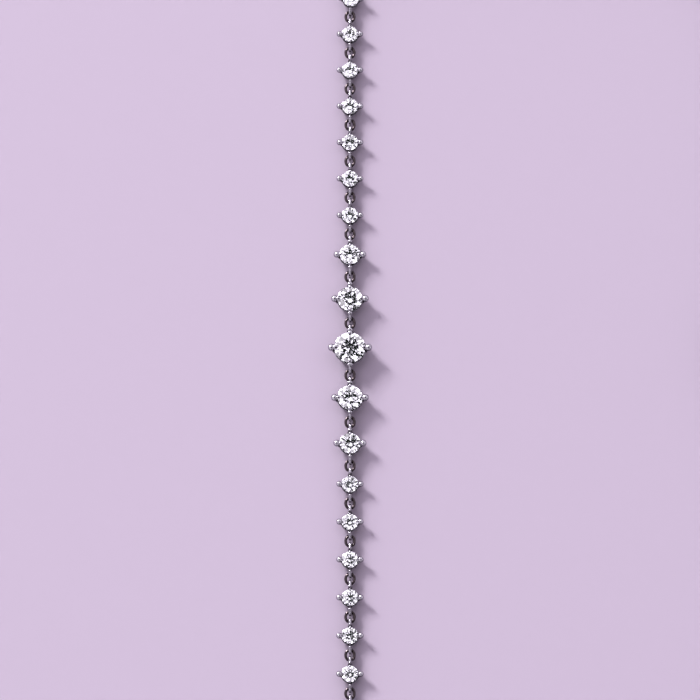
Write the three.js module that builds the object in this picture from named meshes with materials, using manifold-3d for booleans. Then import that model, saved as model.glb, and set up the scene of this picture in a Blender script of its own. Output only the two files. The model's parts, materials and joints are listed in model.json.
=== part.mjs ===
// Tennis bracelet: round brilliants in four-claw settings, joined by flat jump rings, lying closed
// on a table. Millimetres, +Z up, table at z = 0. The origin is the middle of the loop's outline.
// The stretch with the largest stones runs along Y at the -X side, and the clasp is opposite it.

import * as THREE from 'three';
import { mergeVertices } from 'three/addons/utils/BufferGeometryUtils.js';
import { ConvexGeometry } from 'three/addons/geometries/ConvexGeometry.js';
import Module from 'manifold-3d';

const wasm = await Module();
wasm.setup();

// Stone sizes. girdle is the diameter, ringReach runs from girdle to jump ring centre along the
// chain, and clawReach is how far the side claws stand out past the girdle.
const SIZES = {
  centre: { girdle: 2.55, ringReach: 0.95, clawReach: 0.54 },
  second: { girdle: 2.05, ringReach: 0.965, clawReach: 0.52 },
  third: { girdle: 1.7, ringReach: 0.99, clawReach: 0.5 },
  small: { girdle: 1.35, ringReach: 0.907, clawReach: 0.43 },
};
const SMALL_BESIDE_THIRD = 4; // small stones on each side that are pieces of their own
const BACK_STONES = 22; // small stones in each back strand

// Loop on the table
const FRONT_HALF = 31; // from the largest stone to where the straight front ends
const FRONT_BEND = 3.6; // radius of the two bends beside the front
const BACK_BEND = 7; // radius of the two bends beside the clasp

// Brilliant cut, as shares of the girdle diameter
const TABLE_SHARE = 0.57;
const CROWN_SHARE = 0.15;
const GIRDLE_SHARE = 0.03;
const PAVILION_SHARE = 0.43;
const TABLE_SIDES = 8;
const GIRDLE_SIDES = 16;
const CULET_LIFT = 0.15; // culet above the table

// Collet that carries the stone
const COLLET_WALL = 0.2;
const COLLET_SIDES = 8;
const COLLET_SLOPE = 0.2; // widening for each millimetre of height
const RIM_PROUD = 0.08; // rim past the girdle
const RIM_DROP = 0.28; // rim below the girdle
const STONE_GAP = 0.03; // between a stone and its claws

// Claws
const CLAW_WIDTH = 0.44;
const CLAW_RISE = 0.24; // above the girdle
const CLAW_BITE = 0.07; // over the stone's edge
const CLAW_FOOT = 0.12; // height of the foot above the table
const CLAW_PROUD = 0.03; // foot past the collet's corners
const CLAW_ROOT = 0.14; // thickness of the foot, most of it in the collet's wall
const CLAW_SHOULDER = 0.08; // cut off the top outer edge
const END_CLAW_REACH = 0.27; // of the two claws in line with the chain

// Loops of the settings and the jump rings that join them
const LOOP_WIRE = 0.24;
const RING_WIRE = 0.24;
const RING_HEIGHT = 0.5;
const RUNNING_GAP = 0.06; // between a loop and the ring in it
const MEETING_GAP = 0.04; // between two loops in one ring
const SIDE_GAP = 0.12; // between a loop and the sides of its ring
const LOOP_ROOT = 0.1; // depth of a loop's end in the setting
const WIRE_SIDES = 5;
const RING_SIDES = 10;
const LOOP_STEPS = 6;

// Clasp, a plain box
const CLASP_LENGTH = 7.6;
const CLASP_WIDTH = 2.4;
const CLASP_HEIGHT = 1.5;
const CLASP_CORNER = 0.7;
const CLASP_CORNER_STEPS = 2;
const CLASP_RING_REACH = 0.8; // from the box to the ring's centre

// Stone and setting of a back strand, drawn out to four claws and to the rings
const BACK_SHOULDER = Math.PI / 3; // from the side claw round to the shoulder of the arm
const BACK_CLAW_RISE = 0.1; // claw corners above the girdle

// Whole stones
const shownSmall = Math.ceil(SMALL_BESIDE_THIRD);
const backCount = Math.ceil(BACK_STONES);

// What the loops and rings take from each other
const farWire = (LOOP_WIRE + MEETING_GAP) / 2;
const loopBend = (RING_WIRE + LOOP_WIRE) / 2 + RUNNING_GAP;
const ringHalfLength = farWire + loopBend;
const ringHalfWidth = (LOOP_WIRE + RING_WIRE) / 2 + SIDE_GAP;

// Colours and finishes
const WHITE_METAL = { color: 0xd8dade, roughness: 0.14, metalness: 1 };
const BRILLIANT = { color: 0xf6f8fc, roughness: 0.03, metalness: 0 };

// Heights and radii of one stone in its setting
function measure(size) {
  const radius = size.girdle / 2;
  const girdleFoot = CULET_LIFT + PAVILION_SHARE * size.girdle;
  const girdleTop = girdleFoot + GIRDLE_SHARE * size.girdle;
  const rimHeight = girdleFoot - RIM_DROP;
  const rimRadius = radius + RIM_PROUD;
  return {
    radius,
    girdleFoot,
    girdleTop,
    rimHeight,
    rimRadius,
    tableHeight: girdleTop + CROWN_SHARE * size.girdle,
    tableRadius: TABLE_SHARE * radius,
    colletRadius: (height) => rimRadius - COLLET_SLOPE * (rimHeight - height),
  };
}

// Booleans
function solidFrom(geometry) {
  const bare = geometry.clone();
  bare.deleteAttribute('normal');
  bare.deleteAttribute('uv');
  const merged = mergeVertices(bare, 1e-5);
  const mesh = new wasm.Mesh({
    numProp: 3,
    vertProperties: new Float32Array(merged.attributes.position.array),
    triVerts: new Uint32Array(merged.index.array),
  });
  return new wasm.Manifold(mesh);
}

function geometryFrom(solid) {
  const mesh = solid.getMesh();
  const geometry = new THREE.BufferGeometry();
  geometry.setAttribute('position', new THREE.BufferAttribute(mesh.vertProperties, mesh.numProp));
  geometry.setIndex(new THREE.BufferAttribute(mesh.triVerts, 1));
  geometry.computeVertexNormals();
  return geometry;
}

function fused(geometries) {
  const solids = geometries.map(solidFrom);
  return geometryFrom(solids.reduce((whole, next) => whole.add(next)));
}

// Points of a level regular polygon, as corners of a faceted form
function polygonPoints(sides, radius, height, turn = 0) {
  return Array.from({ length: sides }, (unused, corner) => {
    const angle = turn + (corner / sides) * 2 * Math.PI;
    return new THREE.Vector3(radius * Math.cos(angle), radius * Math.sin(angle), height);
  });
}

// A closed form through rings of points with equal counts, from the bottom ring to the top one
function loft(rings) {
  const sides = rings[0].length;
  const index = [];
  for (let level = 0; level < rings.length - 1; level += 1) {
    for (let corner = 0; corner < sides; corner += 1) {
      const here = level * sides + corner;
      const next = level * sides + ((corner + 1) % sides);
      index.push(here, next, next + sides, here, next + sides, here + sides);
    }
  }
  const top = (rings.length - 1) * sides;
  for (let corner = 1; corner < sides - 1; corner += 1) {
    index.push(0, corner + 1, corner);
    index.push(top, top + corner, top + corner + 1);
  }
  const geometry = new THREE.BufferGeometry().setFromPoints(rings.flat());
  geometry.setIndex(index);
  return geometry;
}

function brilliant(size) {
  const at = measure(size);
  return new ConvexGeometry([
    ...polygonPoints(TABLE_SIDES, at.tableRadius, at.tableHeight, Math.PI / TABLE_SIDES),
    ...polygonPoints(GIRDLE_SIDES, at.radius, at.girdleTop),
    ...polygonPoints(GIRDLE_SIDES, at.radius, at.girdleFoot),
    new THREE.Vector3(0, 0, CULET_LIFT),
  ]);
}

function collet(size) {
  const at = measure(size);
  const profile = [
    new THREE.Vector2(at.colletRadius(0) - COLLET_WALL, 0),
    new THREE.Vector2(at.colletRadius(0), 0),
    new THREE.Vector2(at.rimRadius, at.rimHeight),
    new THREE.Vector2(at.rimRadius - COLLET_WALL, at.rimHeight),
  ];
  const ring = new THREE.LatheGeometry([...profile, profile[0]], COLLET_SIDES);
  return ring.rotateX(Math.PI / 2).rotateZ(Math.PI / COLLET_SIDES);
}

// Outer face of a claw at a height, on the straight line from its foot to its widest point
function clawFace(size, reach, height) {
  const at = measure(size);
  const foot = at.colletRadius(CLAW_FOOT) + CLAW_PROUD;
  const share = (height - CLAW_FOOT) / (at.girdleTop - CLAW_FOOT);
  return foot + (at.radius + reach - foot) * share;
}

// A claw that points along +X, cut with a notch that clears the girdle
function claw(size, reach) {
  const at = measure(size);
  const inside = at.radius + STONE_GAP;
  const crownSlope = CROWN_SHARE / ((1 - TABLE_SHARE) / 2);
  const notchTop = at.girdleTop + STONE_GAP;
  const tipUnder = notchTop + (CLAW_BITE + STONE_GAP) * crownSlope;
  const top = at.girdleTop + CLAW_RISE;
  const outline = new THREE.Shape([
    new THREE.Vector2(clawFace(size, reach, CLAW_FOOT) - CLAW_ROOT, CLAW_FOOT),
    new THREE.Vector2(clawFace(size, reach, CLAW_FOOT), CLAW_FOOT),
    new THREE.Vector2(at.radius + reach, at.girdleTop),
    new THREE.Vector2(at.radius + reach - CLAW_SHOULDER, top),
    new THREE.Vector2(at.radius - CLAW_BITE, tipUnder),
    new THREE.Vector2(inside, notchTop),
    new THREE.Vector2(inside, at.girdleFoot),
  ]);
  const blade = new THREE.ExtrudeGeometry(outline, { depth: CLAW_WIDTH, bevelEnabled: false });
  return blade.translate(0, 0, -CLAW_WIDTH / 2).rotateX(Math.PI / 2);
}

// A wire loop in the upright plane of the chain, with both ends in what carries it. It opens
// towards -Y, and its far wire stands in the jump ring whose centre is at ringAt.
function loop(ringAt, upperEnd, lowerEnd) {
  const bendAt = ringAt - ringHalfLength;
  const points = [new THREE.Vector3(0, lowerEnd, RING_HEIGHT - loopBend)];
  for (let turn = 0; turn <= 4; turn += 1) {
    const angle = ((turn - 2) / 4) * Math.PI;
    const along = bendAt + loopBend * Math.cos(angle);
    points.push(new THREE.Vector3(0, along, RING_HEIGHT + loopBend * Math.sin(angle)));
  }
  points.push(new THREE.Vector3(0, upperEnd, RING_HEIGHT + loopBend));
  const section = new THREE.Shape(
    polygonPoints(WIRE_SIDES, LOOP_WIRE / 2, 0).map((point) => new THREE.Vector2(point.x, point.y)),
  );
  return new THREE.ExtrudeGeometry(section, {
    steps: LOOP_STEPS,
    extrudePath: new THREE.CatmullRomCurve3(points),
    bevelEnabled: false,
  });
}

function ringOffset(size) {
  return size.girdle / 2 + size.ringReach;
}

function setting(size) {
  const at = measure(size);
  const upperEnd = clawFace(size, END_CLAW_REACH, RING_HEIGHT + loopBend) - LOOP_ROOT;
  const lowerEnd = at.colletRadius(RING_HEIGHT - loopBend) - LOOP_ROOT;
  const pieces = [collet(size)];
  for (const turn of [0, Math.PI]) {
    pieces.push(claw(size, size.clawReach).rotateZ(turn));
    pieces.push(claw(size, END_CLAW_REACH).rotateZ(turn + Math.PI / 2));
    pieces.push(loop(ringOffset(size), upperEnd, lowerEnd).rotateZ(turn));
  }
  return fused(pieces);
}

// A level oval ring, longer along the chain, with a flat at each end
function jumpRing() {
  const ring = new THREE.TorusGeometry(ringHalfLength, RING_WIRE / 2, WIRE_SIDES, RING_SIDES);
  ring.rotateZ(Math.PI / 2 + Math.PI / RING_SIDES).scale(ringHalfWidth / ringHalfLength, 1, 1);
  return ring.translate(0, 0, RING_HEIGHT);
}

// Stone, collet, claws and loops of a back strand in one faceted form. Its middle ring of corners
// runs from a side claw past a shoulder to the arm that reaches into a jump ring's wire, and back.
function backHead(size) {
  const at = measure(size);
  const clawHeight = at.girdleTop + BACK_CLAW_RISE;
  const clawTip = { turn: 0, radius: at.radius + size.clawReach, height: clawHeight };
  const shoulder = { turn: BACK_SHOULDER, radius: at.radius, height: at.girdleTop };
  const arm = { turn: Math.PI / 2, radius: ringOffset(size) - ringHalfLength, height: RING_HEIGHT };
  const half = [clawTip, shoulder, arm, { ...shoulder, turn: Math.PI - BACK_SHOULDER }];
  const middle = [0, Math.PI].flatMap((halfTurn) =>
    half.flatMap((corner) => polygonPoints(1, corner.radius, corner.height, halfTurn + corner.turn)));
  const base = polygonPoints(middle.length, at.colletRadius(0), 0);
  const table = polygonPoints(middle.length, at.tableRadius, at.tableHeight);
  return loft([base, middle, table]);
}

function clasp() {
  const half = new THREE.Vector2(CLASP_WIDTH / 2, CLASP_LENGTH / 2);
  const outline = new THREE.Shape();
  for (const [x, y, turn] of [[1, 1, 0], [-1, 1, 1], [-1, -1, 2], [1, -1, 3]]) {
    const centre = new THREE.Vector2(x * (half.x - CLASP_CORNER), y * (half.y - CLASP_CORNER));
    const start = (turn * Math.PI) / 2;
    outline.absarc(centre.x, centre.y, CLASP_CORNER, start, start + Math.PI / 2, false);
  }
  const body = new THREE.ExtrudeGeometry(outline, {
    depth: CLASP_HEIGHT,
    curveSegments: CLASP_CORNER_STEPS,
    bevelEnabled: false,
  });
  const loopEnd = half.y - LOOP_ROOT;
  const loops = [0, Math.PI].map((turn) =>
    loop(half.y + CLASP_RING_REACH, loopEnd, loopEnd).rotateZ(turn));
  return fused([body, ...loops]);
}

// Where each stone and the jump rings beside it lie, as distances from the largest stone
function sideStops() {
  const smallStones = Array(shownSmall + backCount).fill(SIZES.small);
  const sizes = [SIZES.second, SIZES.third, ...smallStones];
  let ringBefore = ringOffset(SIZES.centre);
  return sizes.map((size) => {
    const stop = { size, ringBefore, ringAfter: ringBefore + 2 * ringOffset(size) };
    ringBefore = stop.ringAfter;
    return stop;
  });
}

const stops = sideStops();
const shownStops = stops.slice(0, -backCount);
const backStops = stops.slice(-backCount);
const halfLength = stops.at(-1).ringAfter + CLASP_RING_REACH + CLASP_LENGTH / 2;

// Half of the loop: the front from the largest stone on, the run to the back, and the back
function halfLoop() {
  const depth = FRONT_HALF + FRONT_BEND;
  const bothBends = FRONT_BEND + BACK_BEND;
  const straights = halfLength - (bothBends * Math.PI) / 2;
  const width = straights - FRONT_HALF - (depth - BACK_BEND) + bothBends;
  const frontReach = Math.max(...Object.values(SIZES).map((size) => size.girdle / 2 + size.clawReach));
  const backReach = Math.max(CLASP_WIDTH / 2, SIZES.small.girdle / 2 + SIZES.small.clawReach);
  const front = (frontReach - width - backReach) / 2;
  const back = front + width;
  const path = new THREE.Path();
  path.moveTo(front, 0);
  path.lineTo(front, FRONT_HALF);
  path.absarc(front + FRONT_BEND, FRONT_HALF, FRONT_BEND, Math.PI, Math.PI / 2, true);
  path.absarc(back - BACK_BEND, depth - BACK_BEND, BACK_BEND, Math.PI / 2, 0, true);
  path.lineTo(back, 0);
  return path;
}

const route = halfLoop();

// Distances count from the largest stone, and are negative on the -Y side
function pointAt(distance) {
  const point = route.getPoint(Math.abs(distance) / halfLength);
  return distance < 0 ? new THREE.Vector2(point.x, -point.y) : point;
}

// Place and turn of what spans two distances, so that its +Y end points to the second one
function spanBetween(from, to) {
  const start = pointAt(from);
  const end = pointAt(to);
  const middle = start.clone().add(end).multiplyScalar(0.5);
  return { x: middle.x, y: middle.y, turn: end.sub(start).angle() - Math.PI / 2 };
}

function ringPlace(distance) {
  const { turn } = spanBetween(distance - ringHalfLength, distance + ringHalfLength);
  const { x, y } = pointAt(distance);
  return { x, y, turn };
}

function placed(geometry, place) {
  return geometry.rotateZ(place.turn).translate(place.x, place.y, 0);
}

// side is 1 for the +Y strand and -1 for the -Y one
function backStrand(side) {
  const pieces = [placed(jumpRing(), ringPlace(side * backStops[0].ringBefore))];
  for (const { size, ringBefore, ringAfter } of backStops) {
    pieces.push(placed(backHead(size), spanBetween(side * ringBefore, side * ringAfter)));
    pieces.push(placed(jumpRing(), ringPlace(side * ringAfter)));
  }
  return fused(pieces);
}

// The front, from its +Y end to its -Y end
function frontStones() {
  const before = shownStops.map(({ size, ringBefore, ringAfter }) =>
    ({ size, from: ringBefore, to: ringAfter }));
  const after = before.map(({ size, from, to }) => ({ size, from: -to, to: -from }));
  const centreRing = ringOffset(SIZES.centre);
  return [...before.reverse(), { size: SIZES.centre, from: -centreRing, to: centreRing }, ...after];
}

// Assembly
const group = new THREE.Group();

function add(name, geometry, finish, place) {
  const mesh = new THREE.Mesh(geometry, new THREE.MeshStandardMaterial(finish));
  mesh.name = name;
  mesh.position.set(place.x, place.y, 0);
  mesh.rotation.z = place.turn;
  group.add(mesh);
}

function numbered(word, count) {
  return `${word}_${String(count).padStart(2, '0')}`;
}

frontStones().forEach(({ size, from, to }, index) => {
  const place = spanBetween(from, to);
  add(numbered('stone', index + 1), brilliant(size), BRILLIANT, place);
  add(numbered('setting', index + 1), setting(size), WHITE_METAL, place);
  if (index > 0) {
    add(numbered('jump_ring', index), jumpRing(), WHITE_METAL, ringPlace(to));
  }
});

const asMade = { x: 0, y: 0, turn: 0 };
add('back_strand_north', backStrand(1), WHITE_METAL, asMade);
add('back_strand_south', backStrand(-1), WHITE_METAL, asMade);
add('clasp', clasp(), WHITE_METAL, { ...pointAt(halfLength), turn: 0 });

export default group;
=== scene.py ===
import json
import math

import bmesh
import bpy
from mathutils import Matrix, Vector

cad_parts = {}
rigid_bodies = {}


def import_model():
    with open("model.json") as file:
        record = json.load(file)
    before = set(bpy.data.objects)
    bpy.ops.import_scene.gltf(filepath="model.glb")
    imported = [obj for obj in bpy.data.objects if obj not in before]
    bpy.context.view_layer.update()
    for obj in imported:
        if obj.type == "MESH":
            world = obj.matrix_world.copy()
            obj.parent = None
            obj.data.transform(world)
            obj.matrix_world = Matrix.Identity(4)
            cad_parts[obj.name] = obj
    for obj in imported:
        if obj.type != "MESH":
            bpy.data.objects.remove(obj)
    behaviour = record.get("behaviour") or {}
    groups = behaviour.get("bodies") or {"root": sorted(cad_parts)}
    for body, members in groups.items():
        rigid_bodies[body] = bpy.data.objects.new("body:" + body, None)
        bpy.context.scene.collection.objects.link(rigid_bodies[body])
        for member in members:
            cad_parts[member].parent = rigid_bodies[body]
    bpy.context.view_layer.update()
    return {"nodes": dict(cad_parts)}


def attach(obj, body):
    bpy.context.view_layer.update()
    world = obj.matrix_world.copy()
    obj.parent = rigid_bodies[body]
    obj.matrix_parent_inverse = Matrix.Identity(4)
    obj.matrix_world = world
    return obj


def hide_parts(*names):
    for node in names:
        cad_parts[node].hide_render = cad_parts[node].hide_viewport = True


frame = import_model()

# A tennis bracelet: round brilliants in four-claw settings, joined by flat jump rings, lying closed
# on a pale surface. Lengths are in millimetres and angles in degrees where nothing else is said,
# and a mesh is brought to metres when it is finished.
MM = 0.001

# Stone sizes. girdle is the diameter, ring_reach runs from girdle to jump ring centre along the
# chain, and claw_reach is how far the side claws stand out past the girdle.
SIZES = (
    {"name": "centre", "girdle": 2.55, "ring_reach": 0.95, "claw_reach": 0.54},
    {"name": "second", "girdle": 2.05, "ring_reach": 0.965, "claw_reach": 0.52},
    {"name": "third", "girdle": 1.7, "ring_reach": 0.99, "claw_reach": 0.5},
    {"name": "small", "girdle": 1.35, "ring_reach": 0.907, "claw_reach": 0.43},
)
CENTRE, SECOND, THIRD, SMALL = range(len(SIZES))
SMALL_BESIDE_THIRD = 4
BACK_STONES = 22

# Loop on the surface: its two straight runs, half the front's length, and the bends
FRONT_X = -15.7418
BACK_X = 16.3568
FRONT_HALF = 31
FRONT_BEND = 3.6
BACK_BEND = 7
BEND_STEPS = 64

# Round brilliant, as shares of the girdle diameter and of the way between edges
TABLE_SHARE = 0.57
CROWN_SHARE = 0.15
GIRDLE_SHARE = 0.03
PAVILION_SHARE = 0.43
STAR_LENGTH = 0.5
LOWER_HALF_LENGTH = 0.77
MAIN_FACETS = 8

# Height of its lowest point, and the angle under which two triangles count as one facet
CULET_LIFT = 0.15
FACET_FLATNESS = 0.2

# How far stones are turned and tilted by chance
STONE_TURN = 22.5
STONE_TILT = 1
CHANCE_SEED = 7

# Collet. Its slope is what the radius gains for each millimetre up, to RIM_PROUD past the girdle at
# RIM_DROP below it.
COLLET_WALL = 0.2
COLLET_SLOPE = 0.2
RIM_PROUD = 0.08
RIM_DROP = 0.28
RIM_ROUND = 0.05
RIM_STEPS = 3
COLLET_SIDES = 32

# Claws: rise over the girdle, height of the foot, how far the foot stands out of the collet, and
# how far the two end claws stand out past the girdle
CLAW_RISE = 0.24
CLAW_FOOT = 0.12
CLAW_PROUD = 0.03
END_CLAW_REACH = 0.35

# Claw posts. The foot's half width is a share of the stone's radius, the neck's of its head's.
NECK_DEPTH = 0.15
NECK_WIDTH_SHARE = 0.8
FOOT_WIDTH_SHARE = 0.38
POST_SIDES = 16

# Claw heads: the side heads fill their claw's reach, and the end heads' half sizes are shares of the
# stone's radius
BEAD_SWELL = 0.03
BEAD_WIDENING = 1.05
END_BEAD_SHARES = (0.14, 0.2, 0.135)

# Claw tips over the stone, all as shares of its radius: half sizes, and place in and up
FINGER_SHARES = (0.185, 0.15, 0.07)
FINGER_IN = 0.07
FINGER_UP = 0.11
BALL_SIDES = 14
BALL_LEVELS = 9

# Loops and jump rings. RING_HEIGHT is the level of a ring's wire, the gaps are those between wires,
# and LOOP_FLARE is the radius of a loop's upper end, where it is soldered to a claw.
WIRE = 0.24
RING_HEIGHT = 0.5
RUNNING_GAP = 0.06
MEETING_GAP = 0.04
SIDE_GAP = 0.12
LOOP_ROOT = 0.1
LOOP_FLARE = 0.15
WIRE_SIDES = 12
LOOP_STEPS = 10
RING_STEPS = 28
LOOP_BEND = WIRE + RUNNING_GAP
RING_HALF_LENGTH = (WIRE + MEETING_GAP) / 2 + LOOP_BEND
RING_HALF_WIDTH = WIRE + SIDE_GAP

# Clasp
CLASP_LENGTH = 7.6
CLASP_WIDTH = 2.4
CLASP_HEIGHT = 1.5
CLASP_CORNER = 0.7
CLASP_EDGE = 0.22
CLASP_RING_REACH = 0.8
CORNER_STEPS = 8
EDGE_STEPS = 6

# Edges flatter than these are shaded smooth
BODY_SMOOTHING = 40
WIRE_SMOOTHING = 80

# Metal colours in a hollow, low down and in the open. The first two are painted shade, darker where
# shade falls, and the ring wire is the same metal painted darker all over as shade. HOLLOW_REACH is
# how near a surface darkens another as painted shade, and metal is painted shaded up to one height
# and open from the other.
GOLD_PAINTED_SHADES = ("#453f47", "#77737a", "#9c99a0")
WIRE_PAINTED_SHADES = ("#151113", "#2f282b", "#5d5456")
HOLLOW_REACH = 0.5
SHADED_UP_TO = 0.4
OPEN_FROM = 1.1

# Metal roughness, from and to, between the ripples' lowest and highest values
MIRROR_ROUGHNESS = (0.04, 0.13)
SATIN_ROUGHNESS = (0.32, 0.42)
RIPPLE_VALUES = (0.3, 0.7)
RIPPLE_SIZE = 0.7
RIPPLE_DETAIL = 3

# Fine grain of the metal's surface
GRAIN_SIZE = 0.12
GRAIN_DETAIL = 2
GRAIN_STRENGTH = 0.12
GRAIN_DEPTH = 0.02

# Diamond
DIAMOND_COLOUR = "#fbfcff"
DIAMOND_IOR = 2.417

# Camera
CAMERA_ELEVATION = 78
CAMERA_DISTANCE = 338.3
CAMERA_LENS = 208.8
AIM = (FRONT_X, -0.21, 1.2)

# Floor, whose reach is in metres
FLOOR_REACH = 3
FLOOR_COLOUR = "#8d8191"
FLOOR_ROUGHNESS = 0.8

# Studio dome of panels. DARK_PANELS is the share of dark ones, DARK_LEAN what it gains away from
# the lamp, and SPOT_ANGLE the dark place's reach round the camera.
PANEL_SCALE = 12
DARK_PANELS = 0.38
DARK_LEAN = 0.3
SPOT_ANGLE = 24
PANEL_STRENGTH = 2.6
PANEL_COLOUR = "#f7f0fc"
GAP_COLOUR = "#101411"

# Lamp, with distance and size in metres and power in watts
KEY_AZIMUTH = 133
KEY_ELEVATION = 29
KEY_DISTANCE = 2
KEY_SIZE = 0.5
KEY_POWER = 88

# How often light is followed between mirrors
GLOSSY_BOUNCES = 8


def linear(code):
    """The linear colour of an sRGB hex code."""
    colour = []
    for start in (1, 3, 5):
        share = int(code[start : start + 2], 16) / 255
        colour.append(share / 12.92 if share <= 0.04045 else ((share + 0.055) / 1.055) ** 2.4)
    return [*colour, 1]


def toward(azimuth, elevation):
    """Unit vector to a place on the dome. Azimuth 0 is the +X side and 90 the +Y side."""
    turn = math.radians(azimuth)
    rise = math.radians(elevation)
    level = math.cos(rise)
    return Vector((level * math.cos(turn), level * math.sin(turn), math.sin(rise)))


def add_object(name, data):
    """An object in the scene that shows this mesh, curve, lamp or camera."""
    made = bpy.data.objects.new(name, data)
    bpy.context.scene.collection.objects.link(made)
    return made


# Node code
def add_node(tree, kind, inputs=None, **settings):
    """A node with its settings. An input is a value or another node's output socket."""
    node = tree.nodes.new(kind)
    for name, value in settings.items():
        setattr(node, name, value)
    for name, value in (inputs or {}).items():
        if isinstance(value, bpy.types.NodeSocket):
            tree.links.new(value, node.inputs[name])
        else:
            node.inputs[name].default_value = value
    return node


def number_math(tree, operation, *values):
    """The result of an operation on numbers, as an output socket."""
    inputs = dict(enumerate(values))
    return add_node(tree, "ShaderNodeMath", inputs, operation=operation).outputs[0]


def vector_math(tree, operation, *values):
    """The result of an operation on vectors, as an output socket."""
    inputs = dict(enumerate(values))
    return add_node(tree, "ShaderNodeVectorMath", inputs, operation=operation).outputs[0]


def mix_colours(tree, factor, first, second):
    """The first colour where factor is 0, and the second where it is 1."""
    inputs = {"Factor": factor, 6: first, 7: second}
    return add_node(tree, "ShaderNodeMix", inputs, data_type="RGBA").outputs[2]


# Heights and radii of one stone in its setting
def measure(size):
    radius = size["girdle"] / 2
    girdle_foot = CULET_LIFT + PAVILION_SHARE * size["girdle"]
    return {
        "radius": radius,
        "girdle_foot": girdle_foot,
        "girdle_top": girdle_foot + GIRDLE_SHARE * size["girdle"],
        "rim_height": girdle_foot - RIM_DROP,
        "rim_radius": radius + RIM_PROUD,
        "ring": radius + size["ring_reach"],
    }


def collet_radius(size, height):
    at = measure(size)
    return at["rim_radius"] - COLLET_SLOPE * (at["rim_height"] - height)


def claw_face(size, reach, height):
    """Outer face of a claw at a height, on the line from its foot to its widest point."""
    at = measure(size)
    foot = collet_radius(size, CLAW_FOOT) + CLAW_PROUD
    share = (height - CLAW_FOOT) / (at["girdle_top"] - CLAW_FOOT)
    return foot + (at["radius"] + reach - foot) * share


# Mesh code
def around(radius, height, count, turn=0):
    """Points spread evenly round the Z axis. The turn is in radians."""
    points = []
    for step in range(count):
        angle = turn + 2 * math.pi * step / count
        points.append(Vector((radius * math.cos(angle), radius * math.sin(angle), height)))
    return points


def rounded(corners, reach, steps):
    """The closed outline through corners, each cut by a curve that starts reach before it."""
    outline = []
    for index, corner in enumerate(corners):
        before = corners[index - 1]
        after = corners[(index + 1) % len(corners)]
        start = corner + (before - corner).normalized() * reach
        end = corner + (after - corner).normalized() * reach
        for step in range(steps + 1):
            share = step / steps
            outline.append(start.lerp(corner, share).lerp(corner.lerp(end, share), share))
    return outline


def bridge(mesh, rings, closed):
    """Faces between rings of vertices: closed to the first ring, or with a face over each end."""
    uppers = rings[1:] + rings[:1] if closed else rings[1:]
    for lower, upper in zip(rings, uppers):
        for here in range(len(lower)):
            after = (here + 1) % len(lower)
            mesh.faces.new((lower[here], lower[after], upper[after], upper[here]))
    if not closed:
        mesh.faces.new(rings[0])
        mesh.faces.new(rings[-1])


def add_lathe(mesh, profile, sides):
    """A closed outline of radius and height, turned round the Z axis."""
    rings = []
    for radius, height in profile:
        rings.append([mesh.verts.new(point) for point in around(radius, height, sides)])
    bridge(mesh, rings, closed=True)


def add_wire(mesh, path, radii, closed=False):
    """A round wire along path, with a radius for each of its points."""
    count = len(path)
    across = (path[1] - path[0]).orthogonal()
    rings = []
    for index, (point, radius) in enumerate(zip(path, radii)):
        after = path[(index + 1) % count] if closed else path[min(index + 1, count - 1)]
        before = path[index - 1] if closed else path[max(index - 1, 0)]
        along = (after - before).normalized()
        across = (across - across.dot(along) * along).normalized()
        up = along.cross(across)
        rings.append([
            mesh.verts.new(point + across * corner.x + up * corner.y)
            for corner in around(radius, 0, WIRE_SIDES)
        ])
    bridge(mesh, rings, closed)


def add_post(mesh, sections):
    """A post through level ovals, each given by its centre and its half widths along X and Y."""
    rings = []
    for centre, half_x, half_y in sections:
        rings.append([
            mesh.verts.new(centre + Vector((half_x * point.x, half_y * point.y, 0)))
            for point in around(1, 0, POST_SIDES)
        ])
    bridge(mesh, rings, closed=False)


def add_ball(mesh, centre, radii):
    place = Matrix.LocRotScale(Vector(centre), None, Vector(radii))
    bmesh.ops.create_uvsphere(
        mesh, u_segments=BALL_SIDES, v_segments=BALL_LEVELS, radius=1, matrix=place)


def turned(mesh, turn, build):
    """Runs build on a mesh of its own and adds the result, turned about the Z axis by radians."""
    part = bmesh.new()
    build(part)
    part.transform(Matrix.Rotation(turn, 4, "Z"))
    held = bpy.data.meshes.new("held")
    part.to_mesh(held)
    part.free()
    mesh.from_mesh(held)
    bpy.data.meshes.remove(held)


def finished(mesh, name, smooth_under=0):
    """The mesh in metres. Edges flatter than smooth_under degrees are shaded smooth."""
    bmesh.ops.recalc_face_normals(mesh, faces=mesh.faces)
    mesh.transform(Matrix.Scale(MM, 4))
    data = bpy.data.meshes.new(name)
    mesh.to_mesh(data)
    mesh.free()
    data.polygons.foreach_set("use_smooth", [smooth_under > 0] * len(data.polygons))
    if smooth_under > 0:
        data.set_sharp_from_angle(angle=math.radians(smooth_under))
    return data


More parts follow.
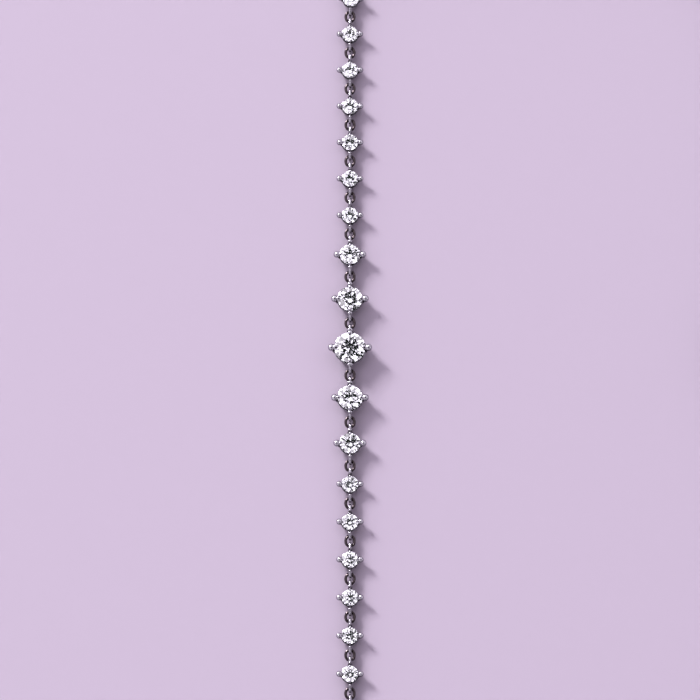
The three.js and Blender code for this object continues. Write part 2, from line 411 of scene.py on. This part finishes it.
# Round brilliant
def brilliant_corners(size):
    """Corners of the table, stars, kites, scalloped girdle, lower halves and mains."""
    at = measure(size)
    radius, top, foot = at["radius"], at["girdle_top"], at["girdle_foot"]
    crown = CROWN_SHARE * size["girdle"]
    pavilion = PAVILION_SHARE * size["girdle"]
    table_radius = TABLE_SHARE * radius
    half_main = math.pi / MAIN_FACETS
    half_girdle = half_main / 2
    table_edge = table_radius * math.cos(half_main)
    star_radius = table_edge + STAR_LENGTH * (radius - table_edge)
    star_height = crown * (radius - star_radius * math.cos(half_main)) / (radius - table_radius)
    low_radius = (1 - LOWER_HALF_LENGTH) * radius
    low_depth = pavilion * (1 - low_radius * math.cos(half_main) / radius)
    upper_slope = star_height / ((radius - star_radius) * math.cos(half_girdle))
    lower_slope = low_depth / ((radius - low_radius) * math.cos(half_girdle))
    bulge = radius * (1 - math.cos(half_girdle))
    girdle_facets = 2 * MAIN_FACETS
    return [
        *around(table_radius, top + crown, MAIN_FACETS),
        *around(star_radius, top + star_height, MAIN_FACETS, half_main),
        *around(radius, top, girdle_facets),
        *around(radius, top - upper_slope * bulge, girdle_facets, half_girdle),
        *around(radius, foot + lower_slope * bulge, girdle_facets, half_girdle),
        *around(radius, foot, girdle_facets),
        *around(low_radius, foot - low_depth, MAIN_FACETS, half_main),
        Vector((0, 0, CULET_LIFT)),
    ]


def brilliant(size):
    mesh = bmesh.new()
    for corner in brilliant_corners(size):
        mesh.verts.new(corner)
    bmesh.ops.convex_hull(mesh, input=mesh.verts)
    bmesh.ops.dissolve_limit(
        mesh, angle_limit=math.radians(FACET_FLATNESS), verts=mesh.verts, edges=mesh.edges)
    return finished(mesh, "brilliant_" + size["name"])


# Setting: collet, four claws with domed heads, and an upright wire loop at each end
def add_collet(mesh, size):
    at = measure(size)
    corners = [
        Vector((collet_radius(size, 0) - COLLET_WALL, 0)),
        Vector((collet_radius(size, 0), 0)),
        Vector((at["rim_radius"], at["rim_height"])),
        Vector((at["rim_radius"] - COLLET_WALL, at["rim_height"])),
    ]
    add_lathe(mesh, rounded(corners, RIM_ROUND, RIM_STEPS), COLLET_SIDES)


def add_claw(mesh, size, reach, bead):
    """A claw that points along +X: broad at the foot, with a domed head and a tip over the stone."""
    at = measure(size)
    head_out = at["radius"] + reach - bead[0] + BEAD_SWELL
    head_up = at["girdle_top"] + CLAW_RISE - bead[2]
    foot_out = claw_face(size, reach, CLAW_FOOT) - NECK_DEPTH
    add_post(mesh, [
        (Vector((foot_out, 0, CLAW_FOOT)), NECK_DEPTH, FOOT_WIDTH_SHARE * at["radius"]),
        (Vector((head_out, 0, head_up)), min(NECK_DEPTH, bead[0]), NECK_WIDTH_SHARE * bead[1]),
    ])
    add_ball(mesh, (head_out, 0, head_up), bead)
    finger_out = (1 - FINGER_IN) * at["radius"]
    finger_up = at["girdle_top"] + FINGER_UP * at["radius"]
    add_ball(mesh, (finger_out, 0, finger_up), [share * at["radius"] for share in FINGER_SHARES])


def add_loop(mesh, ring_at, upper_end, lower_end):
    """A wire loop in the upright plane of the chain, opening towards -X, its far wire in a ring."""
    bend_at = ring_at - RING_HALF_LENGTH
    path = [Vector((lower_end, 0, RING_HEIGHT - LOOP_BEND))]
    for step in range(LOOP_STEPS + 1):
        angle = math.pi * (step / LOOP_STEPS - 0.5)
        out = bend_at + LOOP_BEND * math.cos(angle)
        path.append(Vector((out, 0, RING_HEIGHT + LOOP_BEND * math.sin(angle))))
    path.append(Vector((upper_end, 0, RING_HEIGHT + LOOP_BEND)))
    add_wire(mesh, path, [WIRE / 2] * (len(path) - 1) + [LOOP_FLARE])


def setting(size):
    at = measure(size)
    upper_end = claw_face(size, END_CLAW_REACH, RING_HEIGHT + LOOP_BEND) - LOOP_ROOT
    lower_end = collet_radius(size, RING_HEIGHT - LOOP_BEND) - LOOP_ROOT
    half_reach = size["claw_reach"] / 2 + BEAD_SWELL
    side_bead = (half_reach, half_reach * BEAD_WIDENING, half_reach)
    end_bead = [share * at["radius"] for share in END_BEAD_SHARES]
    mesh = bmesh.new()
    add_collet(mesh, size)
    for side_turn in (0, math.pi):
        end_turn = side_turn + math.pi / 2
        turned(mesh, side_turn, lambda part: add_claw(part, size, size["claw_reach"], side_bead))
        turned(mesh, end_turn, lambda part: add_claw(part, size, END_CLAW_REACH, end_bead))
        turned(mesh, end_turn, lambda part: add_loop(part, at["ring"], upper_end, lower_end))
    return finished(mesh, "setting_" + size["name"], BODY_SMOOTHING)


def jump_ring():
    """A flat oval ring, long along the chain."""
    path = [
        Vector((RING_HALF_WIDTH * point.x, RING_HALF_LENGTH * point.y, RING_HEIGHT))
        for point in around(1, 0, RING_STEPS)
    ]
    mesh = bmesh.new()
    add_wire(mesh, path, [WIRE / 2] * RING_STEPS, closed=True)
    return finished(mesh, "jump_ring", WIRE_SMOOTHING)


# Clasp: a plain box with rounded corners and edges, and a wire loop at each end
def clasp_levels():
    """How far the outline is drawn in and at what height, over the lower and the upper edge."""
    lower = []
    for step in range(EDGE_STEPS + 1):
        angle = math.pi / 2 * step / EDGE_STEPS
        lower.append((CLASP_EDGE * (1 - math.sin(angle)), CLASP_EDGE * (1 - math.cos(angle))))
    upper = [(inset, CLASP_HEIGHT - rise) for inset, rise in reversed(lower)]
    return lower + upper


def clasp_box():
    half_x = CLASP_WIDTH / 2
    half_y = CLASP_LENGTH / 2
    sides = ((1, 1), (-1, 1), (-1, -1), (1, -1))
    corners = [Vector((side_x * half_x, side_y * half_y)) for side_x, side_y in sides]
    outline = rounded(corners, CLASP_CORNER, CORNER_STEPS)
    mesh = bmesh.new()
    rings = []
    for inset, height in clasp_levels():
        share_x = (half_x - inset) / half_x
        share_y = (half_y - inset) / half_y
        rings.append([
            mesh.verts.new((point.x * share_x, point.y * share_y, height)) for point in outline
        ])
    bridge(mesh, rings, closed=False)
    ring_at = half_y + CLASP_RING_REACH
    root = half_y - LOOP_ROOT
    for turn in (math.pi / 2, -math.pi / 2):
        turned(mesh, turn, lambda part: add_loop(part, ring_at, root, root))
    mesh.transform(Matrix.Translation((BACK_X, 0, 0)))
    return finished(mesh, "clasp_box", BODY_SMOOTHING)


# Route of the chain
def half_route():
    """Points of the route from the largest stone to the clasp's middle, on the +Y side."""
    depth = FRONT_HALF + FRONT_BEND
    points = [Vector((FRONT_X, 0, 0))]
    for centre_x, centre_y, radius, start in (
        (FRONT_X + FRONT_BEND, FRONT_HALF, FRONT_BEND, math.pi),
        (BACK_X - BACK_BEND, depth - BACK_BEND, BACK_BEND, math.pi / 2),
    ):
        for step in range(BEND_STEPS + 1):
            angle = start - math.pi / 2 * step / BEND_STEPS
            x = centre_x + radius * math.cos(angle)
            y = centre_y + radius * math.sin(angle)
            points.append(Vector((x, y, 0)))
    points.append(Vector((BACK_X, 0, 0)))
    return points


def route_length(points):
    return sum((after - before).length for before, after in zip(points, points[1:]))


def route_object(points):
    """The whole route as a curve, from the clasp's middle round by the -Y side and back to it."""
    whole = [Vector((point.x, -point.y, 0)) for point in reversed(points)] + points[1:]
    curve = bpy.data.curves.new("route", "CURVE")
    curve.dimensions = "3D"
    spline = curve.splines.new("POLY")
    spline.points.add(len(whole) - 1)
    for point, place in zip(spline.points, whole):
        point.co = (*(place * MM), 1)
    return add_object("route", curve)


# Spans (size, start, end) of the links along the route, from the largest stone
def side_spans():
    """The stones of one side. Each starts and ends at the middle of a jump ring."""
    spans = []
    start = measure(SIZES[CENTRE])["ring"]
    for size in [SECOND, THIRD] + [SMALL] * (SMALL_BESIDE_THIRD + BACK_STONES):
        end = start + 2 * measure(SIZES[size])["ring"]
        spans.append((size, start, end))
        start = end
    return spans


def mirrored(spans):
    """The same stones on the other side of the largest one."""
    return [(size, -end, -start) for size, start, end in reversed(spans)]


def stretches():
    """The stones of the front and of the two back strands."""
    side = side_spans()
    front = side[:-BACK_STONES]
    back = side[-BACK_STONES:]
    ring = measure(SIZES[CENTRE])["ring"]
    return {
        "front": [*mirrored(front), (CENTRE, -ring, ring), *front],
        "north": back,
        "south": mirrored(back),
    }


def ring_spans(stretch, spans):
    """The jump rings between and beside stones. The front leaves its outer two to the strands."""
    middles = sorted({end for span in spans for end in span[1:]})
    if stretch == "front":
        middles = middles[1:-1]
    return [(0, middle - RING_HALF_LENGTH, middle + RING_HALF_LENGTH) for middle in middles]


def on_route(spans, half_length):
    """Spans in metres from the start of the whole route."""
    return [
        (size, (start + half_length) * MM, (end + half_length) * MM) for size, start, end in spans
    ]


# Geometry nodes that string links along the route
STRINGING_INPUTS = (
    ("Geometry", "NodeSocketGeometry"),
    ("Route", "NodeSocketObject"),
    ("Links", "NodeSocketCollection"),
    ("Chord Share", "NodeSocketFloat"),
    ("Turn Spread", "NodeSocketFloat"),
    ("Tilt Spread", "NodeSocketFloat"),
    ("Seed", "NodeSocketInt"),
    ("Finish", "NodeSocketMaterial"),
)
SPAN_PARTS = (("size", "INT"), ("start", "FLOAT"), ("end", "FLOAT"))


def named_value(tree, name, kind="FLOAT"):
    return add_node(
        tree, "GeometryNodeInputNamedAttribute", {"Name": name}, data_type=kind).outputs[0]


def link_ends(tree, route):
    """Places on the route where a link starts, has its middle and ends."""
    start = named_value(tree, "start")
    end = named_value(tree, "end")
    middle = number_math(tree, "MULTIPLY", number_math(tree, "ADD", start, end), 0.5)
    curve = add_node(tree, "GeometryNodeObjectInfo", {"Object": route}).outputs["Geometry"]
    places = []
    for length in (start, middle, end):
        sample = add_node(
            tree, "GeometryNodeSampleCurve", {"Curves": curve, "Length": length}, mode="LENGTH")
        places.append(sample.outputs["Position"])
    return places


def link_place(tree, ends, chord_share):
    """The link's middle on the route, moved by a share of the way to the chord of its ends."""
    start, middle, end = ends
    half = (0.5, 0.5, 0.5)
    chord = vector_math(tree, "MULTIPLY", vector_math(tree, "ADD", end, start), half)
    to_chord = vector_math(tree, "SUBTRACT", chord, middle)
    moved = vector_math(tree, "MULTIPLY", to_chord, chord_share)
    return vector_math(tree, "ADD", middle, moved)


def link_rotation(tree, ends, entry):
    """The link's Y axis along its chord, and then a turn and a tilt by chance."""
    along = vector_math(tree, "SUBTRACT", ends[-1], ends[0])
    facing = add_node(
        tree, "FunctionNodeAlignRotationToVector", {"Vector": along}, axis="Y", pivot_axis="Z",
    ).outputs[0]
    tilt = entry["Tilt Spread"]
    spread = add_node(
        tree, "ShaderNodeCombineXYZ", {"X": tilt, "Y": tilt, "Z": entry["Turn Spread"]}).outputs[0]
    chance = add_node(
        tree, "FunctionNodeRandomValue",
        {"Min": (-1, -1, -1), "Max": (1, 1, 1), "Seed": entry["Seed"]}, data_type="FLOAT_VECTOR",
    ).outputs[0]
    angles = vector_math(tree, "MULTIPLY", chance, spread)
    wobble = add_node(tree, "FunctionNodeEulerToRotation", {"Euler": angles}).outputs[0]
    return add_node(
        tree, "FunctionNodeRotateRotation", {"Rotation": facing, "Rotate By": wobble},
        rotation_space="LOCAL",
    ).outputs[0]


def stringing_tree():
    """Puts a link on each point of a mesh. The points hold the parts of their links' spans."""
    tree = bpy.data.node_groups.new("Links along the route", "GeometryNodeTree")
    for name, kind in STRINGING_INPUTS:
        tree.interface.new_socket(name, in_out="INPUT", socket_type=kind)
    tree.interface.new_socket("Geometry", in_out="OUTPUT", socket_type="NodeSocketGeometry")
    entry = add_node(tree, "NodeGroupInput").outputs
    ends = link_ends(tree, entry["Route"])
    place = link_place(tree, ends, entry["Chord Share"])
    moved = add_node(
        tree, "GeometryNodeSetPosition", {"Geometry": entry["Geometry"], "Position": place},
    ).outputs[0]
    links = add_node(
        tree, "GeometryNodeCollectionInfo",
        {"Collection": entry["Links"], "Separate Children": True, "Reset Children": True},
    ).outputs[0]
    chain = add_node(
        tree, "GeometryNodeInstanceOnPoints",
        {
            "Points": moved, "Instance": links, "Pick Instance": True,
            "Instance Index": named_value(tree, "size", "INT"),
            "Rotation": link_rotation(tree, ends, entry),
        },
    ).outputs[0]
    real = add_node(tree, "GeometryNodeRealizeInstances", {"Geometry": chain}).outputs[0]
    dressed = add_node(
        tree, "GeometryNodeSetMaterial", {"Geometry": real, "Material": entry["Finish"]},
    ).outputs[0]
    add_node(tree, "NodeGroupOutput", {"Geometry": dressed})
    return tree


def link_kinds(name, meshes):
    """A collection of links to pick from. Their names keep the order of the sizes."""
    kinds = bpy.data.collections.new(name)
    for number, data in enumerate(meshes):
        kinds.objects.link(bpy.data.objects.new(f"{name}_{number}", data))
    return kinds


def strung(name, tree, spans, inputs):
    """A plain mesh of links, one for each span."""
    points = bpy.data.meshes.new(name + "_points")
    points.from_pydata([(0, 0, 0)] * len(spans), [], [])
    for index, (part, kind) in enumerate(SPAN_PARTS):
        values = points.attributes.new(part, kind, "POINT")
        values.data.foreach_set("value", [span[index] for span in spans])
    piece = add_object(name, points)
    modifier = piece.modifiers.new("links", "NODES")
    modifier.node_group = tree
    for item in tree.interface.items_tree:
        if item.in_out == "INPUT" and item.name in inputs:
            modifier[item.identifier] = inputs[item.name]
    graph = bpy.context.evaluated_depsgraph_get()
    piece.data = bpy.data.meshes.new_from_object(piece.evaluated_get(graph), depsgraph=graph)
    piece.data.name = name
    piece.modifiers.clear()
    return piece


# Finishes
def new_material(name):
    made = bpy.data.materials.new(name)
    made.use_nodes = True
    made.node_tree.nodes.clear()
    return made, made.node_tree


def painted_metal_shade(tree, place, shades):
    """Painted shade: metal is darker low down, and darker still in hollows, where shade falls."""
    in_hollow, low_down, in_open = [linear(code) for code in shades]
    # Painted shade that grows towards the bottom: shaded up to one height, open from another
    height = add_node(tree, "ShaderNodeSeparateXYZ", {"Vector": place}).outputs["Z"]
    unshaded_share = add_node(
        tree, "ShaderNodeMapRange",
        {"Value": height, "From Min": SHADED_UP_TO * MM, "From Max": OPEN_FROM * MM},
    ).outputs[0]
    height_shaded = mix_colours(tree, unshaded_share, low_down, in_open)
    # Ambient occlusion paints shade into hollows and between parts
    clear = add_node(tree, "ShaderNodeAmbientOcclusion", {"Distance": HOLLOW_REACH * MM})
    return mix_colours(tree, clear.outputs["AO"], in_hollow, height_shaded)


def worked_metal(name, shades, roughness):
    """Metal with faint ripples and a fine grain from casting and polishing, and painted shade in its
    colour.
    """
    made, tree = new_material(name)
    place = add_node(tree, "ShaderNodeTexCoord").outputs["Object"]
    ripple = add_node(
        tree, "ShaderNodeTexNoise",
        {"Vector": place, "Scale": 1 / (RIPPLE_SIZE * MM), "Detail": RIPPLE_DETAIL})
    grain = add_node(
        tree, "ShaderNodeTexNoise",
        {"Vector": place, "Scale": 1 / (GRAIN_SIZE * MM), "Detail": GRAIN_DETAIL})
    rough = add_node(
        tree, "ShaderNodeMapRange",
        {
            "Value": ripple.outputs["Fac"],
            "From Min": RIPPLE_VALUES[0], "From Max": RIPPLE_VALUES[1],
            "To Min": roughness[0], "To Max": roughness[1],
        },
    ).outputs[0]
    bump = add_node(
        tree, "ShaderNodeBump",
        {
            "Height": grain.outputs["Fac"],
            "Strength": GRAIN_STRENGTH, "Distance": GRAIN_DEPTH * MM,
        },
    ).outputs[0]
    # Base colour with painted shade low down and in hollows
    shade = painted_metal_shade(tree, place, shades)
    shader = add_node(
        tree, "ShaderNodeBsdfPrincipled",
        {"Base Color": shade, "Metallic": 1, "Roughness": rough, "Normal": bump},
    ).outputs[0]
    add_node(tree, "ShaderNodeOutputMaterial", {"Surface": shader})
    return made


def plated_gold():
    """White gold, cast, polished and rhodium plated: a cool mirror, with painted shade low down and
    in hollows.
    """
    return worked_metal("rhodium_plated_gold", GOLD_PAINTED_SHADES, MIRROR_ROUGHNESS)


def ring_wire():
    """Gold wire rings, only tumbled, with small sharp lights, painted darker than the settings as
    shade.
    """
    return worked_metal("ring_wire_painted_shade", WIRE_PAINTED_SHADES, MIRROR_ROUGHNESS)


def satin_plate():
    """White gold brushed to a satin: an even, soft sheen without a clear reflection, with painted
    shade low down and in hollows.
    """
    return worked_metal("satin_clasp_plate", GOLD_PAINTED_SHADES, SATIN_ROUGHNESS)


def cut_diamond():
    """Diamond, cut and polished: clear, with strong refraction that breaks up light and dark."""
    made, tree = new_material("cut_diamond")
    shader = add_node(
        tree, "ShaderNodeBsdfPrincipled",
        {
            "Base Color": linear(DIAMOND_COLOUR), "Roughness": 0,
            "IOR": DIAMOND_IOR, "Transmission Weight": 1,
        },
    ).outputs[0]
    add_node(tree, "ShaderNodeOutputMaterial", {"Surface": shader})
    return made


def pale_card():
    """Matt card: pale, with no sheen."""
    made, tree = new_material("pale_card")
    shader = add_node(
        tree, "ShaderNodeBsdfPrincipled",
        {"Base Color": linear(FLOOR_COLOUR), "Roughness": FLOOR_ROUGHNESS},
    ).outputs[0]
    add_node(tree, "ShaderNodeOutputMaterial", {"Surface": shader})
    return made


# The bracelet
def declare(piece, nodes):
    """Hides the solids a piece replaces. The whole bracelet is one body."""
    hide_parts(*nodes)
    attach(piece, "root")


def replaced_nodes(stretch, kind):
    """The front has a solid for each stone, setting and ring, and each back strand is one solid."""
    if stretch == "front":
        return [node for node in frame["nodes"] if node.startswith(kind + "_")]
    return ["back_strand_" + stretch]


def remove_kinds(kinds):
    for kind in list(kinds.objects):
        bpy.data.objects.remove(kind)
    bpy.data.collections.remove(kinds)


def dress_chain():
    """Stones, settings and jump rings, each as one piece for the front and for each back strand."""
    half = half_route()
    route = route_object(half)
    half_length = route_length(half)
    tree = stringing_tree()
    stones = link_kinds("stone_kind", [brilliant(size) for size in SIZES])
    settings = link_kinds("setting_kind", [setting(size) for size in SIZES])
    rings = link_kinds("ring_kind", [jump_ring()])
    stone_inputs = {
        "Route": route, "Links": stones, "Finish": cut_diamond(), "Chord Share": 1.0,
        "Turn Spread": math.radians(STONE_TURN), "Tilt Spread": math.radians(STONE_TILT),
        "Seed": CHANCE_SEED,
    }
    setting_inputs = {
        "Route": route, "Links": settings, "Finish": plated_gold(), "Chord Share": 1.0,
    }
    ring_inputs = {"Route": route, "Links": rings, "Finish": ring_wire()}
    for stretch, spans in stretches().items():
        for kind, name, slot, kind_spans, inputs in (
            ("stone", "_brilliants", "brilliant", spans, stone_inputs),
            ("setting", "_settings", "white_metal", spans, setting_inputs),
            ("jump_ring", "_jump_rings", "white_metal", ring_spans(stretch, spans), ring_inputs),
        ):
            piece = strung(stretch + name, tree, on_route(kind_spans, half_length), inputs)
            declare(piece, replaced_nodes(stretch, kind))
    bpy.data.objects.remove(route)
    for kinds in (stones, settings, rings):
        remove_kinds(kinds)


def dress_clasp():
    clasp = add_object("clasp_box", clasp_box())
    clasp.data.materials.append(satin_plate())
    declare(clasp, ["clasp"])


# Surface, light and camera
def add_floor():
    data = bpy.data.meshes.new("floor")
    sides = ((-1, -1), (1, -1), (1, 1), (-1, 1))
    corners = [(side_x * FLOOR_REACH, side_y * FLOOR_REACH, 0) for side_x, side_y in sides]
    data.from_pydata(corners, [], [(0, 1, 2, 3)])
    data.materials.append(pale_card())
    add_object("floor", data)


def view_direction():
    """From the largest stone to the camera."""
    return toward(-90, CAMERA_ELEVATION)


def place_facing(made, location, back):
    """Puts a lamp or camera at a location, turned away from the direction back."""
    made.location = location
    made.rotation_mode = "QUATERNION"
    made.rotation_quaternion = (-back).to_track_quat("-Z", "Y")


def add_lamp():
    """A square lamp that looks at the front from the outside of the loop."""
    lamp = bpy.data.lights.new("key", "AREA")
    lamp.size = KEY_SIZE
    lamp.energy = KEY_POWER
    back = toward(KEY_AZIMUTH, KEY_ELEVATION)
    place_facing(add_object("key", lamp), Vector((FRONT_X * MM, 0, 0)) + back * KEY_DISTANCE, back)


def squareness(tree, place, direction):
    """1 for a place on the dome in the direction, 0 at right angles to it and -1 behind."""
    return add_node(
        tree, "ShaderNodeVectorMath", {0: place, 1: direction}, operation="DOT_PRODUCT",
    ).outputs["Value"]


def add_world():
    """A studio dome of bright and dark panels, darker away from the lamp and round the camera."""
    world = bpy.data.worlds.new("soft_studio")
    bpy.context.scene.world = world
    world.use_nodes = True
    tree = world.node_tree
    tree.nodes.clear()
    place = add_node(tree, "ShaderNodeTexCoord").outputs["Generated"]
    cells = add_node(tree, "ShaderNodeTexVoronoi", {"Vector": place, "Scale": PANEL_SCALE})
    chance = add_node(tree, "ShaderNodeSeparateColor", {0: cells.outputs["Color"]}).outputs[0]
    away = squareness(tree, place, -toward(KEY_AZIMUTH, 0))
    dark_share = number_math(tree, "MULTIPLY_ADD", away, DARK_LEAN, DARK_PANELS)
    bright = number_math(tree, "GREATER_THAN", chance, dark_share)
    overhead = squareness(tree, place, view_direction())
    clear = number_math(tree, "LESS_THAN", overhead, math.cos(math.radians(SPOT_ANGLE)))
    lit = number_math(tree, "MULTIPLY", bright, clear)
    colour = mix_colours(tree, lit, linear(GAP_COLOUR), linear(PANEL_COLOUR))
    shader = add_node(
        tree, "ShaderNodeBackground", {"Color": colour, "Strength": PANEL_STRENGTH}).outputs[0]
    add_node(tree, "ShaderNodeOutputWorld", {"Surface": shader})


def add_camera():
    data = bpy.data.cameras.new("camera")
    data.lens = CAMERA_LENS
    camera = add_object("camera", data)
    back = view_direction()
    place_facing(camera, (Vector(AIM) + back * CAMERA_DISTANCE) * MM, back)
    bpy.context.scene.camera = camera


dress_chain()
dress_clasp()
add_floor()
add_lamp()
add_world()
add_camera()
bpy.context.scene.view_settings.view_transform = "Standard"
bpy.context.scene.cycles.caustics_reflective = False
bpy.context.scene.cycles.caustics_refractive = False
bpy.context.scene.cycles.glossy_bounces = GLOSSY_BOUNCES
